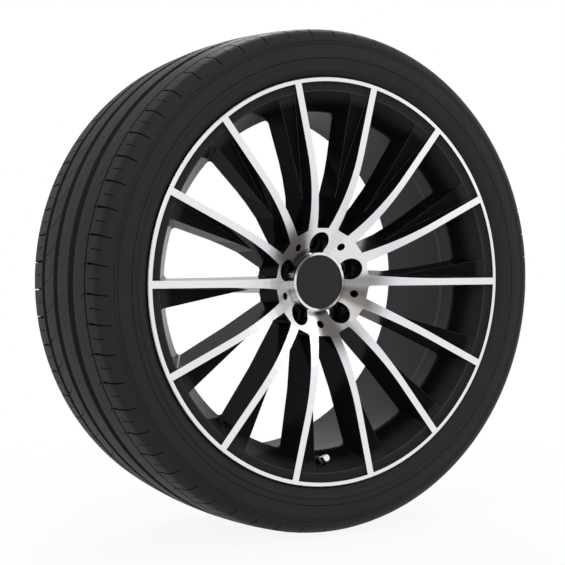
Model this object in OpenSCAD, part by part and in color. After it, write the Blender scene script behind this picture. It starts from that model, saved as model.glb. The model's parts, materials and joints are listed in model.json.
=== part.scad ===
// Cast alloy wheel with fourteen slim spokes, low-profile tyre, centre cap and clamp-in valve.
// The frame is the wheel's own: origin at the wheel's centre, spin axis along Y,
// outboard face towards -Y, +Z up.

/* [Rim] */
// Width between the flanges, where the beads sit
rim_w = 228.6; // [216:0.1:241]
// Diameter of the bead seats
seat_d = 512.8; // [510:0.1:516]
// Height of a flange above its bead seat
flange_h = 17.3; // [16:0.1:18]
// Thickness of a flange
flange_t = 7.6; // [6.5:0.1:8.5]
// Width of the machined land on the outboard lip
land_w = 4.8; // [3:0.1:6]
// Bevel on the lip's outer edge
lip_bevel = 0.9; // [0.4:0.1:1.4]
// Depth of the painted ledge behind the lip
ledge_deep = 4.5; // [3:0.1:6]
// Width of the painted ledge
ledge_w = 11.6; // [9:0.1:13]
// Length of a bead seat
seat_w = 20; // [19.5:0.5:22]
// Radius between a flange and its seat
heel_r = 6; // [5:0.5:7]
// Radius of a flange's edge
flange_edge = 3; // [2:0.5:3.5]
// Height of the safety humps
hump_h = 1.2; // [0.5:0.1:2]
// Depth of the drop centre below the bead seats
well_drop = 20.4; // [17.4:0.1:24.4]
// Distance from the lip to the drop centre
well_from = 51; // [50:1:55]
// Length of the drop centre
well_w = 25; // [20:1:35]
// Wall of the barrel
barrel_t = 4.6; // [4:0.1:6]
// Thickness of the metal under the rear bead seat
rear_t = 8.6; // [7.4:0.1:10]
// Length of the thick rear ring
rear_ring = 35; // [25:1:45]

/* [Spokes] */
// Number of spokes
spokes = 14; // [10:1:16]
// Angle of the first spoke
spoke_angle = 101.9; // [90:0.1:115]
// Width of a spoke's machined face
rib_w = 9.6; // [8:0.1:11]
// Draft of a rib's steep side, per millimetre of depth
rib_draft = 0.03; // [0.01:0.01:0.06]
// Draft of a rib's side above its web, per millimetre of depth
web_side_draft = 0.14; // [0.08:0.01:0.18]
// Width of the web beside the rib, at the rim
web_w = 26; // [18:0.5:28]
// Fall of the webs towards the hub, per millimetre of radius
web_fall = 0.18; // [0.14:0.01:0.22]
// Radius where the web runs out into the rib
web_end_r = 112; // [105:1:120]
// Radius of the arc that the machined faces dish in by
dish_r = 207; // [195:1:225]
// Radius where the machined faces begin to dish
dish_from = 180; // [170:1:190]
// Radius where the windows end near the hub
window_end_r = 73.6; // [72:0.1:78]
// Width that the web's back has more than its slope gives, at the rim
web_back = 12; // [8:0.5:14]
// Width that the ribs' backs have more than their faces, near the hub
rib_back = 5; // [3:0.5:7]
// Corner radius of the windows at the front
window_corner = 4; // [2:0.5:5]
// Corner radius of the windows at the back
window_back_corner = 9; // [6:0.5:10]
// Depth of the spokes' back at the barrel
back_rim = 46; // [42:1:49]
// Depth of the spokes' back at the hub
back_hub = 75; // [70:1:77]

/* [Hub] */
// Distance from the rim's middle to the mounting face
offset_et = 42; // [36:1:46]
// Diameter of the mounting pad
pad_d = 150; // [146:1:156]
// Height of the mounting pad
pad_h = 4; // [2:0.5:5]
// Diameter of the hub bore
hub_bore_d = 66.6; // [60:0.1:68]
// Pitch circle of the wheel bolts
bolt_pcd = 112; // [108:1:114]
// Number of wheel bolts
bolts = 5; // [5:1:5]
// Diameter of a bolt hole
bolt_hole_d = 15; // [14:0.1:16]
// Diameter of the seat for a bolt's head
bolt_seat_d = 25; // [22:0.5:26]
// Depth of a bolt seat
bolt_seat_h = 5; // [3:0.5:6]
// Thickness under a bolt pocket
bolt_floor = 17; // [15:0.5:20]
// Radius of a bolt pocket
pocket_r = 14.6; // [14:0.1:15]
// Distance of a bolt pocket from the axis
pocket_at = 53.2; // [52:0.1:54]
// Width of a pocket's mouth at the boss
mouth_w = 19; // [16:1:22]
// Radius of the boss round the cap
boss_r = 40; // [39.5:0.1:41]
// Depth of the boss's face below the lip
boss_deep = 40.6; // [38:0.1:42]
// Slope of the boss's side
boss_flare = 1.6; // [1:0.1:2]
// Distance of the small holes from the axis
dimple_at = 58; // [57:0.5:60]
// Diameter of the small holes
dimple_d = 10; // [8:0.5:11]
// Depth of the small holes
dimple_deep = 14; // [10:1:16]
// Diameter of the lightening holes in the back
relief_d = 20; // [16:1:22]
// Depth of the lightening holes in the back
relief_deep = 13; // [8:1:15]

/* [Tyre] */
// Height of the section above the bead seats
section_h = 87.6; // [84:0.1:91]
// Greatest width of the section
section_w = 255; // [250:1:262]
// Distance from the tread's edges to the sides of the section
shoulder_in = 24.5; // [22:0.5:28]
// Drop of the tread at its edges
crown_drop = 5.5; // [4:0.5:8]
// Radius of the shoulders
shoulder_r = 26; // [22:1:28]
// Rubber under the tread
tread_t = 15; // [14:0.5:17]
// Thickness of the sidewall
sidewall_t = 7.5; // [6:0.5:9]
// Height of the widest part above the lip
bulge_up = 29.5; // [26:0.5:33]
// Drop of the sidewall from its widest part to the tread
side_drop = 13.3; // [11:0.1:15]
// Depth of the tread grooves
groove_deep = 7.5; // [5:0.5:8.5]
// Distance of the outer wide groove from the middle, towards the lip
groove_a = 38; // [34:0.5:42]
// Width of the outer wide groove
groove_a_w = 17; // [12:0.5:18]
// Distance of the middle wide groove from the middle, away from the lip
groove_b = 13; // [10:0.5:18]
// Width of the middle wide groove
groove_b_w = 15; // [10:0.5:16]
// Distance of the inner wide groove from the tread's edge
groove_c_in = 40.5; // [36:0.5:44]
// Width of the inner wide groove
groove_c_w = 13; // [9:0.5:14]
// Distance of the thin groove from the tread's edge
thin_in = 23; // [19:0.5:27]
// Width of the thin groove
thin_w = 3.4; // [2:0.1:4]
// Depth of the thin groove
thin_deep = 6; // [4:0.5:7]
// Number of shoulder blocks
pitches = 59; // [48:1:64]
// Angle by which the tread pattern is turned
tread_angle = 4.35; // [0:0.05:6]
// Angle by which the blocks' edges stray from an even pitch
pitch_stray = 0.6; // [0:0.05:0.8]
// Width of the cross grooves where they start
cross_w = 3; // [1.5:0.1:4]
// Depth of the cross grooves where they start
cross_deep = 6; // [4:0.5:7]
// Fall of the cross grooves' floors towards the shoulders
cross_fall = 16; // [12:1:20]
// Distance that the cross grooves reach past the tread's edges
cross_out = 19; // [14:0.5:22]
// Gap between a cross groove and the groove beside it
cross_gap = 1; // [0.5:0.1:2]
// Drift of the cross grooves round the tyre
cross_drift = 2.8; // [0:0.1:6]
// Drift of the curved cuts round the tyre
curve_drift = 19.4; // [12:0.1:24]
// Width of the fine cuts
sipe_w = 1.5; // [0.8:0.1:1.8]
// Depth of the fine cuts
sipe_deep = 3.5; // [2:0.5:5]
// Length of the nicks behind the thin groove
nick_l = 11; // [8:0.5:14]
// Length of the short cuts between the cross grooves
short_l = 23; // [16:0.5:26]
// Distance of the first fine line on the sidewall below the tread
line_in = 23.5; // [21:0.5:26]
// Distance from the first fine line to the second
line_gap = 4; // [3:0.1:5]
// Height of the lowest fine line above the lip
low_line_up = 24.3; // [20:0.1:27]
// Depth of the fine lines
line_deep = 0.9; // [0.3:0.1:1.2]
// Gap between a bead and the rim
bead_gap = 0.3; // [0.2:0.05:0.4]
// Width of a bead
bead_w = 19; // [17:0.5:19.5]
// Height of the rib that guards the lip above the lip
guard_up = 9; // [7:0.5:11]
// Width of the rib that guards the lip
guard_w = 5.5; // [4:0.5:7]
// Height of that rib above the sidewall
guard_h = 1.6; // [1:0.1:2.5]

/* [Centre cap] */
// Diameter of the cap
cap_d = 72.8; // [70:0.1:74]
// Thickness of the cap's plate
cap_plate = 2.4; // [2:0.1:3]
// Depth of the cap's face below the boss
cap_sunk = 1.2; // [0.8:0.1:2]
// Diameter of the cap's plain disc
disc_d = 69; // [66:0.5:70]
// Thickness of the cap's plain disc
disc_t = 0.8; // [0.6:0.1:1.2]
// Number of clip fingers
fingers = 6; // [5:1:8]
// Length of a clip finger
finger_l = 13; // [12:0.5:14]
// Thickness of a clip finger
finger_t = 2; // [1.6:0.1:2.4]
// Wire of the cap's spring ring
ring_wire = 1.6; // [1.2:0.1:2]
// Play between the cap and the wheel
cap_play = 0.3; // [0.2:0.05:0.4]

/* [Valve] */
// Angle of the valve round the wheel
valve_angle = -92.6; // [-94:0.1:-90]
// Tilt of the valve towards the axis
valve_tilt = 20; // [15:1:25]
// Distance of the valve's seat below the ledge behind the lip
valve_in = 11.8; // [10.5:0.1:12.9]
// Depth of the valve's seat below the lip
valve_deep = 32; // [31:0.5:34]
// Diameter of the valve hole
valve_hole_d = 11.3; // [11:0.1:11.6]
// Thickness of the rim at the valve
valve_wall = 9; // [7:0.5:10]
// Diameter of the valve's threaded body
stem_d = 9.6; // [9:0.1:10]
// Diameter of the valve's mouth thread
mouth_d = 7.7; // [7.5:0.1:8]
// Length of the valve outside the rim
stem_out = 24; // [22:0.5:27]
// Length of the valve's mouth thread
mouth_l = 10; // [9:0.5:11]
// Diameter of the valve's foot
foot_d = 15; // [14:0.5:16]
// Thickness of the valve's foot
foot_t = 3.5; // [3:0.5:4]
// Thickness of the seal under the foot
seal_t = 1.4; // [1:0.1:2]
// Thickness of the washer
washer_t = 1.2; // [1:0.1:1.6]
// Width across the nut's flats
nut_af = 12; // [12:0.5:13]
// Height of the nut
nut_h = 5; // [4:0.5:6]
// Diameter of the dust cap
cap_out_d = 9.8; // [9.4:0.1:10.4]
// Wall of the dust cap at its end
cap_end = 1.5; // [1.2:0.1:2]
// Grooves round the dust cap
cap_grooves = 16; // [12:1:20]
// Thickness of the seal in the dust cap
cap_seal_t = 1.2; // [0.8:0.1:1.4]
// Diameter of the bore for the valve core
core_bore_d = 5.3; // [5.2:0.1:5.4]
// Diameter of the air passage
air_d = 3; // [2.6:0.1:3.4]
// Length of the valve core's plug
core_l = 8; // [7:0.5:9]
// Depth of the valve core below the valve's mouth
core_sunk = 1; // [0.8:0.1:1.5]
// Diameter of the core's pin
pin_d = 1.1; // [1:0.1:1.2]
// Height of the core's pin above its plug
pin_out = 0.8; // [0.5:0.1:0.9]
// Travel of the core's pin
pin_travel = 1.2; // [0.8:0.1:1.4]
// Wire of the core's spring
spring_wire = 0.25; // [0.2:0.05:0.3]
// Turns of the core's spring
spring_turns = 4; // [3:1:5]
// Length of the core's spring at rest
spring_l = 2.6; // [2.4:0.1:2.8]
// Thickness of the shelf under the spring
shelf_t = 0.6; // [0.5:0.1:0.8]
// Thickness of the collar on the pin
collar_t = 0.4; // [0.3:0.1:0.5]
// Running play inside the valve
fit_play = 0.06; // [0.04:0.01:0.08]

/* [Pressure sensor] */
// Length of the sensor's housing round the rim
sensor_l = 46; // [40:1:52]
// Width of the sensor's housing
sensor_w = 22; // [20:0.5:23]
// Height of the sensor's housing
sensor_h = 13; // [11:0.5:14]
// Wall of the sensor's housing
sensor_t = 1.6; // [1.4:0.1:2]
// Diameter of the sensor's screw
screw_d = 3.5; // [3:0.1:4]

/* [Hidden] */

// Rim, all depths measured inwards from the lip's face
half_w = rim_w / 2 + flange_t;
seat_r = seat_d / 2;
lip_r = seat_r + flange_h;
land_r = lip_r - lip_bevel - land_w;
ledge_r = land_r - ledge_w;
valve_r = ledge_r - valve_in;
well_r = seat_r - well_drop;
well_in_r = well_r - barrel_t;
seat_fall = seat_w * tan(5);
rear_open_r = seat_r - rear_t;
function seat_at(d) = seat_r - seat_fall * (d - heel_r) / (seat_w - heel_r);
face_depth = rim_w / 2 + flange_t - offset_et;
tight = 0.15;

// Depth of the machined faces and of the webs at a radius
function dish(r) = r > dish_from ? 0 : dish_r - sqrt(dish_r * dish_r - pow(dish_from - r, 2));
dish_end = dish(window_end_r);
dish_slope = (dish_from - window_end_r) / sqrt(pow(dish_r, 2) - pow(dish_from - window_end_r, 2));
function hub_dish(r) = r > window_end_r ? dish(r) : dish_end + dish_slope * (window_end_r - r);
function web_dish(r) = ledge_deep + web_fall * max(0, ledge_r - r);

// Points on an arc, by its middle, radius and two angles
function arc(c, r, a, b, n) =
    [for (i = [0:n]) c + r * [cos(a + (b - a) * i / n), sin(a + (b - a) * i / n)]];

// Puts a shape that is drawn with its axis up and its outboard face on top into the wheel's frame
module on_axle() {
    rotate([90, 0, 0]) children();
}

// Section of the rim: tyre side from the lip inwards, then the inner side back to the lip
rim_outside = concat(
    [[land_r, 0], [lip_r - lip_bevel, 0], [lip_r, lip_bevel]],
    arc([lip_r - flange_edge, flange_t - flange_edge], flange_edge, 0, 90, 4),
    arc([seat_r + heel_r, flange_t + heel_r], heel_r, 270, 180, 4),
    [[seat_r - seat_fall, flange_t + seat_w]],
    [[seat_r + hump_h - seat_fall, flange_t + seat_w + 3]],
    [[seat_r + hump_h - seat_fall, flange_t + seat_w + 6]],
    [[seat_r - 4, flange_t + seat_w + 11]],
    [[well_r + 2, well_from - 1], [well_r, well_from + 3]],
    [[well_r, well_from + well_w], [well_r + 5, well_from + well_w + 7]],
    [[well_r + 8, well_from + well_w + 16]]
);
rear_seat = 2 * half_w - flange_t;
rim_outside_rear = concat(
    [[rear_open_r + barrel_t, rear_seat - seat_w - 16]],
    [[seat_r + hump_h - seat_fall, rear_seat - seat_w - 6]],
    [[seat_r + hump_h - seat_fall, rear_seat - seat_w - 3]],
    [[seat_r - seat_fall, rear_seat - seat_w]],
    arc([seat_r + heel_r, rear_seat - heel_r], heel_r, 180, 90, 4),
    arc([lip_r - flange_edge, rear_seat + flange_edge], flange_edge, 270, 360, 4),
    [[lip_r, 2 * half_w - lip_bevel], [lip_r - lip_bevel, 2 * half_w]]
);
rim_inside = concat(
    [[seat_r + 4, 2 * half_w]],
    arc([seat_r + 4, 2 * half_w - 6], 6, 90, 150, 3),
    [[rear_open_r, 2 * half_w - 10], [rear_open_r, 2 * half_w - rear_ring]],
    [[rear_open_r - 1.4, 2 * half_w - rear_ring - 2]],
    [[well_in_r + 8.5, well_from + well_w + 14], [well_in_r + 5.5, well_from + well_w + 5]],
    [[well_in_r, well_from + well_w - 4], [well_in_r, well_from - 3]],
    [[well_in_r + 2.5, well_from - 9], [ledge_r - 2, ledge_deep + 3.5]],
    [[ledge_r, ledge_deep], [land_r, ledge_deep]]
);

module rim_section() {
    points = concat(rim_outside, rim_outside_rear, rim_inside);
    polygon([for (p = points) [p[0], half_w - p[1]]]);
}

// Back of the spokes, from inside the barrel's wall to the hub pad
function back_at(share) = back_rim + (back_hub - back_rim) * share;
web_core_r = bolt_pcd / 2 + barrel_t;
bore_inside_r = hub_bore_d / 2 - barrel_t / 2;
spoke_back = [
    [well_in_r + barrel_t * 1.2, back_rim - barrel_t], [well_in_r + barrel_t * 0.65, back_rim],
    [well_in_r * 0.864, back_at(0.17)], [well_in_r * 0.648, back_at(0.41)],
    [well_in_r * 0.475, back_at(0.76)],
    [pad_d / 2 + pad_h * 1.5, back_hub],
    [pad_d / 2, face_depth - pad_h]
];

// Disc that the webs are cut from, as deep as their faces
module web_disc_section() {
    back = [for (i = [len(spoke_back) - 1:-1:0]) spoke_back[i]];
    core = [[web_core_r, web_dish(web_core_r)], [web_core_r, face_depth - pad_h]];
    points = concat([[ledge_r + barrel_t / 4, web_dish(ledge_r)]], core, back);
    polygon([for (p = points) [p[0], half_w - p[1]]]);
}

// Disc that the hub and the ribs are cut from, up to the machined faces
module face_disc_section(outer) {
    steps = 14;
    front = [for (i = [0:steps]) let(r = outer + (window_end_r - outer) * i / steps) [r, dish(r)]];
    foot_r = boss_r + boss_flare;
    hub = [[foot_r, hub_dish(foot_r)], [bore_inside_r, hub_dish(foot_r)]];
    back = [[bore_inside_r, face_depth], [pad_d / 2, face_depth], [pad_d / 2, face_depth - pad_h]];
    rise = [for (i = [len(spoke_back) - 2:-1:1]) spoke_back[i]];
    wall = [spoke_back[0], [ledge_r - 1, ledge_deep + 3.5], [ledge_r + 1, ledge_deep + 1]];
    points = concat(front, hub, back, rise, wall, [[outer, ledge_deep]]);
    polygon([for (p = points) [p[0], half_w - p[1]]]);
}

// Corner i of an outline, rounded by a radius in a number of steps
function corner(list, i, r, steps) = let(
    p = list[i],
    a = list[(i + len(list) - 1) % len(list)] - p,
    b = list[(i + 1) % len(list)] - p,
    u = a / norm(a),
    v = b / norm(b),
    half = acos(u * v) / 2,
    mid = p + (u + v) / norm(u + v) * r / sin(half),
    from = p + u * r / tan(half) - mid,
    to = p + v * r / tan(half) - mid,
    turn = atan2(from[0] * to[1] - from[1] * to[0], from * to)
) r == 0 ? [p] : [for (k = [0:steps]) mid + turned(from, turn * k / steps)];
function rounded(list, radii, steps) =
    [for (i = [0:len(list) - 1]) each corner(list, i, radii[i], steps)];
function turned(p, a) = [p[0] * cos(a) - p[1] * sin(a), p[0] * sin(a) + p[1] * cos(a)];

// Outline of a window, in the frame of the spoke on its clockwise side: the web's edge from
// the hub to the rim, an arc along the rim and the steep side of the next rib
window_turn = 360 / spokes;
rim_steps = 6;
function window_outline(bend, edge_end, rim_r, next_y, hub_r, hub_y, small, big) = let(
    edge_a = atan2(edge_end[1], edge_end[0]),
    next_a = window_turn - asin(next_y / rim_r),
    step = (next_a - edge_a) / rim_steps,
    along = [for (i = [0:rim_steps]) rim_r * [cos(edge_a + step * i), sin(edge_a + step * i)]],
    hub_next = turned([hub_r, -next_y], window_turn),
    corners = concat([[hub_r, hub_y], bend], along, [hub_next]),
    radii = concat([small, 0, big], [for (i = [2:rim_steps]) 0], [big, small])
) rounded(corners, radii, 6);

// Solid between two outlines with the same number of points
module loft(lower, low_z, upper, high_z) {
    n = len(lower);
    vertices = concat([for (p = lower) [p[0], p[1], low_z]], [for (p = upper) [p[0], p[1], high_z]]);
    sides = [for (i = [0:n - 1]) each [[i, n + i, (i + 1) % n], [(i + 1) % n, n + i, n + (i + 1) % n]]];
    ends = [[for (i = [0:n - 1]) i], [for (i = [n - 1:-1:0]) n + i]];
    polyhedron(vertices, concat(sides, ends), convexity = 6);
}

edge_cut = 0.2;
rib_half = rib_w / 2;
wall_fall = (ledge_r - well_in_r - 4.5) / (well_from - 9 - ledge_deep - 3.5);

module window() {
    top_z = half_w + 2;
    low_d = face_depth + 2;
    rim_r = ledge_r + 3;
    low_r = rim_r - wall_fall * low_d;
    front_edge = rib_half + web_w;
    back_edge = rib_half + web_side_draft * low_d + web_back;
    front = window_outline(
        [web_end_r, rib_half - edge_cut], [sqrt(rim_r * rim_r - front_edge * front_edge), front_edge],
        rim_r, rib_half - edge_cut, window_end_r, rib_half - edge_cut, window_corner, window_corner / 2);
    back = window_outline(
        [web_end_r, rib_half + 2 * rib_back], [sqrt(low_r * low_r - back_edge * back_edge), back_edge],
        low_r, rib_half + rib_draft * low_d - edge_cut, window_end_r, rib_half + rib_back,
        window_corner, window_back_corner);
    loft(back, half_w - low_d, front, top_z);
}

// Rib with the machined face, as long as the radius, with a slope on the side of its web
module rib() {
    deep = face_depth + 1;
    section = [
        [-rib_half + rib_draft, 1], [rib_half - web_side_draft, 1],
        [rib_half + web_side_draft * deep, -deep], [-rib_half - rib_draft * deep, -deep]
    ];
    translate([50, 0, half_w])
        rotate([90, 0, 90])
            linear_extrude(land_r - 48)
                polygon(section);
}

module spoke_bodies() {
    difference() {
        union() {
            rotate_extrude($fn = 180) web_disc_section();
            intersection() {
                rotate_extrude($fn = 180) face_disc_section(land_r + 1);
                translate([0, 0, -half_w])
                    cylinder(h = 2 * half_w + 2, r = window_end_r + 8, $fn = 120);
            }
        }
        for (i = [0:spokes - 1])
            rotate([0, 0, spoke_angle + i * window_turn]) window();
    }
    intersection() {
        rotate_extrude($fn = 180) face_disc_section(land_r + 1);
        for (i = [0:spokes - 1])
            rotate([0, 0, spoke_angle + i * window_turn]) rib();
    }
}

// Pocket for a wheel bolt, open towards the boss
module bolt_pocket() {
    floor_z = half_w - face_depth + bolt_floor;
    difference() {
        union() {
            translate([pocket_at, 0, floor_z]) cylinder(h = 90, r = pocket_r, $fn = 64);
            translate([boss_r - 6, 0, floor_z])
                linear_extrude(90)
                    polygon([[0, -mouth_w / 2], [pocket_at - boss_r + 8, -pocket_r + 0.7],
                        [pocket_at - boss_r + 8, pocket_r - 0.7], [0, mouth_w / 2]]);
        }
        translate([0, 0, floor_z - 1]) cylinder(h = 92, r = boss_r + 0.4, $fn = 96);
    }
    translate([bolt_pcd / 2, 0, floor_z - bolt_seat_h])
        cylinder(h = bolt_seat_h + 0.1, d1 = bolt_hole_d, d2 = bolt_seat_d, $fn = 64);
    translate([bolt_pcd / 2, 0, half_w - face_depth - 1]) cylinder(h = 40, d = bolt_hole_d, $fn = 48);
}

// Boss that the cap sits in
module boss() {
    top = half_w - boss_deep;
    foot = half_w - hub_dish(boss_r) - 8;
    translate([0, 0, foot]) cylinder(h = top - foot, r1 = boss_r + boss_flare, r2 = boss_r, $fn = 96);
}

cap_seat = half_w - boss_deep - cap_sunk - cap_plate;
cap_bore_r = cap_d / 2 + cap_play;
finger_r = hub_bore_d / 2 - cap_play;
barb_z = cap_seat - finger_l + 1.2;
catch_z = cap_seat - finger_l - 1;
barb_h = 1.6;
barb_out = 0.9;

module hub_bore() {
    translate([0, 0, half_w - face_depth - 1]) cylinder(h = 100, d = hub_bore_d, $fn = 96);
    // groove that the barbs spring into, past the fingers' ends
    translate([0, 0, catch_z])
        cylinder(h = barb_z + barb_h + cap_play - catch_z, r = finger_r + barb_out + cap_play, $fn = 96);
    translate([0, 0, cap_seat - tight]) cylinder(h = 60, r = cap_bore_r, $fn = 96);
    // lead-in at the mounting face
    translate([0, 0, half_w - face_depth - 0.01])
        cylinder(h = 2, r1 = hub_bore_d / 2 + 2, r2 = hub_bore_d / 2, $fn = 96);
}

// Puts a shape that stands on the valve's seat, mouth up, at its place in the rim
module at_valve() {
    rotate([0, 0, valve_angle])
        translate([valve_r, 0, half_w - valve_deep])
            rotate([0, -valve_tilt, 0])
                children();
}

module valve_hole() {
    at_valve() {
        translate([0, 0, -valve_wall - 10]) cylinder(h = valve_wall + 20, d = valve_hole_d, $fn = 48);
        cylinder(h = 30, d = nut_af + 7, $fn = 48);
        translate([0, 0, -valve_wall - 20]) cylinder(h = 20, d = foot_d + 3, $fn = 48);
    }
}

module alloy_wheel() {
    color("#c9ccd2")
        on_axle()
            difference() {
                union() {
                    rotate_extrude($fn = 180) rim_section();
                    spoke_bodies();
                    boss();
                }
                for (i = [0:bolts - 1])
                    rotate([0, 0, 90 + i * 360 / bolts]) bolt_pocket();
                for (i = [0:bolts - 1])
                    rotate([0, 0, 54 + i * 360 / bolts]) {
                        translate([dimple_at, 0, half_w - hub_dish(dimple_at) - dimple_deep])
                            cylinder(h = 60, d = dimple_d, $fn = 32);
                        translate([dimple_at, 0, half_w - face_depth - 1])
                            cylinder(h = relief_deep + 1, d = relief_d, $fn = 48);
                    }
                hub_bore();
                valve_hole();
            }
}

// Tyre, drawn about the middle of the rim
tread_r = seat_r + section_h;
section_half = section_w / 2;
tread_half = section_half - shoulder_in;
side_h = tread_r - lip_r;
bead_face = rim_w / 2 - bead_gap;
bulge_r = lip_r + bulge_up;
line_r = tread_r - line_in;
low_line_r = lip_r + low_line_up;
groove_c = tread_half - groove_c_in;
groove_thin = tread_half - thin_in;
crown_slope = atan(2 * crown_drop / tread_half);
function crown(z) = tread_r - crown_drop * pow(z / tread_half, 2);
function side_z(r) = section_half - side_drop * pow((r - bulge_r) / (tread_r - bulge_r), 2);
function reversed(list) = [for (i = [len(list) - 1:-1:0]) list[i]];

// Notch of one groove, as points from its outboard to its inboard edge
function groove(z, w, deep) = [
    [crown(z + w / 2), z + w / 2], [crown(z) - deep, z + w * 0.34],
    [crown(z) - deep, z - w * 0.34], [crown(z - w / 2), z - w / 2]
];

// Fine line moulded in the sidewall, and the sidewall between two radii
function fine_line(r, w, s) = [
    [r + w / 2, s * side_z(r + w / 2)], [r + w / 6, s * (side_z(r) - line_deep)],
    [r - w / 6, s * (side_z(r) - line_deep)], [r - w / 2, s * side_z(r - w / 2)]
];
function side_arc(r1, r2, n, s) =
    [for (i = [1:n - 1]) let(r = r1 + (r2 - r1) * i / n) [r, s * side_z(r)]];

// Outer side of the sidewall, from the shoulder down to the bead; s is 1 outboard, -1 inboard
function sidewall(s) = let(w = line_gap * 0.6) concat(
    fine_line(line_r, w, s), fine_line(line_r - line_gap, w, s),
    side_arc(line_r - line_gap - w / 2, low_line_r + w / 3, 5, s), fine_line(low_line_r, w / 1.5, s),
    [
        [lip_r + guard_up + guard_w * 1.3, s * side_z(lip_r + guard_up + guard_w)],
        [lip_r + guard_up + guard_w, s * (side_z(lip_r + guard_up + guard_w) + guard_h)],
        [lip_r + guard_up, s * (side_z(lip_r + guard_up) + guard_h)],
        [lip_r + guard_up / 2, s * side_z(lip_r)]
    ]
);

// Bead, a gap away from the flange's round edge, its fillet and the seat
function bead(s) = let(
    foot = [lip_r + guard_up / 4, bead_face + flange_t * 0.7],
    edge_mid = [lip_r - flange_edge, rim_w / 2 + flange_edge],
    edge = arc(edge_mid, (flange_edge + bead_gap) / cos(15), 0, -90, 3),
    heel = arc([seat_r + heel_r, rim_w / 2 - heel_r], heel_r - bead_gap, 90, 180, 4),
    toe = [seat_at(bead_w) + bead_gap, rim_w / 2 - bead_w]
) [for (p = concat([foot], edge, heel, [toe])) [p[0], s * p[1]]];

// Inner side, from the bead's toe to the middle
function inner_side(s) = [
    [seat_at(bead_w) + 2.5 * bead_gap + sidewall_t / 4, s * (rim_w / 2 - bead_w)],
    [seat_r + flange_h * 0.7, s * (bead_face - bead_w * 0.7)],
    [lip_r + side_h * 0.06, s * (bead_face - sidewall_t)],
    [lip_r + side_h * 0.2, s * (side_z(lip_r + side_h * 0.2) - sidewall_t * 1.4)],
    [lip_r + side_h * 0.37, s * (section_half - sidewall_t)],
    [lip_r + side_h * 0.53, s * (side_z(lip_r + side_h * 0.53) - sidewall_t)],
    [lip_r + side_h * 0.66, s * (side_z(lip_r + side_h * 0.66) - sidewall_t * 1.8)],
    [crown(tread_half * 0.94) - tread_t * 1.1, s * tread_half * 0.94],
    [crown(tread_half * 0.6) - tread_t, s * tread_half * 0.6]
];

// Round of the shoulder, from the tread's edge to the first fine line
shoulder_mid = [crown(tread_half), tread_half] - shoulder_r * [cos(crown_slope), sin(crown_slope)];
shoulder_end = acos((line_r + line_gap / 2 - shoulder_mid[0]) / shoulder_r);
function shoulder(s) =
    [for (p = arc(shoulder_mid, shoulder_r, crown_slope, shoulder_end, 6)) [p[0], s * p[1]]];

module tyre_section() {
    outboard = concat(reversed(bead(1)), reversed(sidewall(1)), reversed(shoulder(1)));
    mids = [tread_half - thin_in / 2, (groove_thin + groove_a) / 2, (groove_a - groove_b) / 2,
        -(groove_b + groove_c) / 2, groove_c_in / 2 - tread_half];
    tread = concat(
        [[crown(mids[0]), mids[0]]], groove(groove_thin, thin_w, thin_deep),
        [[crown(mids[1]), mids[1]]], groove(groove_a, groove_a_w, groove_deep),
        [[crown(mids[2]), mids[2]]], groove(-groove_b, groove_b_w, groove_deep),
        [[crown(mids[3]), mids[3]]], groove(-groove_c, groove_c_w, groove_deep),
        [[crown(mids[4]), mids[4]]]
    );
    inboard = concat(shoulder(-1), sidewall(-1), bead(-1));
    polygon(concat(outboard, tread, inboard, inner_side(-1), reversed(inner_side(1))));
}

// Cut into the tread. It starts at a place across the tread, with its floor at a radius, and runs
// along the axle for a length and round the tyre by a drift, bent by a bow, between two widths
module cut(z, r, length, drift, bow, w1, w2, fall) {
    steps = 4;
    side = sign(length);
    high = tread_r - r + abs(length) * tan(fall) + 2;
    along = [for (i = [0:steps]) let(u = i / steps) [drift * (u + bow * u * (u - 1)), length * u]];
    half = [for (i = [0:steps]) [(w1 + (w2 - w1) * i / steps) / 2, 0]];
    left = [for (i = [0:steps]) along[i] - half[i]];
    right = [for (i = [0:steps]) along[i] + half[i]];
    translate([r, 0, z])
        rotate([0, -side * fall, 0])
            rotate([90, 0, 90])
                linear_extrude(high)
                    polygon(concat(left, reversed(right)));
}

// Angle of a block's edge, with a pitch that strays a little round the tyre
function block_angle(i) = let(a = tread_angle + 360 * i / pitches) a + pitch_stray * sin(5 * a + 130);

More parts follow.
